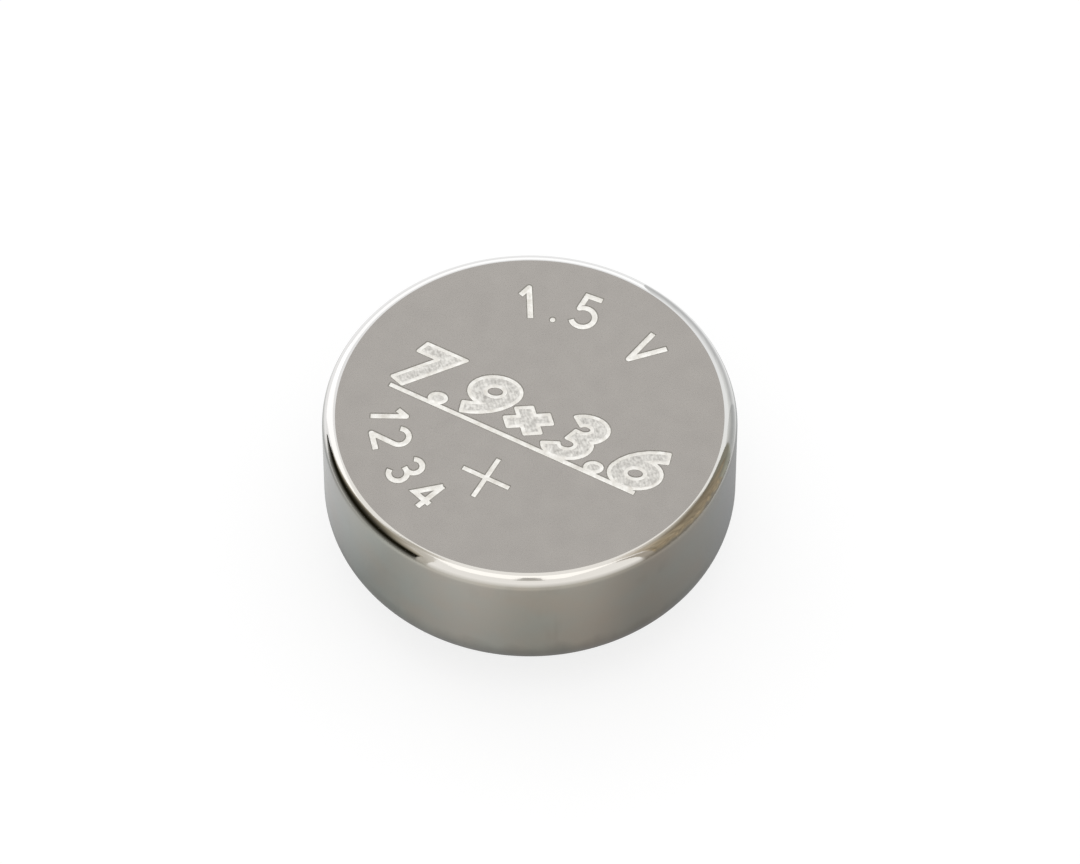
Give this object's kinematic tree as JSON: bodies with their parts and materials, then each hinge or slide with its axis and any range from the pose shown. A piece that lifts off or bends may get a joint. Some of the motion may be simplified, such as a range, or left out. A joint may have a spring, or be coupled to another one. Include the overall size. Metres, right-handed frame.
{
  "type": "button cell battery",
  "caption": "Small round alkaline button cell: a flat steel can rolled in over a gasket and a stepped negative cap, with its inner layers.",
  "frame": {"origin": "centre of the flat negative contact face, at the bottom of the cell", "axes": "+Z along the cell's axis, from the negative cap to the flat positive face; +X is the direction in which the figures on the positive face are read"},
  "size_m": [0.0078, 0.0078, 0.0036],
  "materials": {
    "can_steel": "nickel plated, fine satin",
    "cap_steel": "nickel plated, fine satin",
    "gasket_nylon": "natural, slightly waxy",
    "pressed_oxide": "matt pressed powder",
    "film_paper": "smooth film",
    "pad_felt": "fine non-woven felt, damp",
    "zinc_gel": "granular gel"
  },
  "bodies": {
    "root": {"positive_can": "can_steel", "negative_cap": "cap_steel", "sealing_gasket": "gasket_nylon", "cathode_pellet": "pressed_oxide", "barrier_film": "film_paper", "absorbent_pad": "pad_felt", "anode_gel": "zinc_gel"}
  },
  "joints": []
}
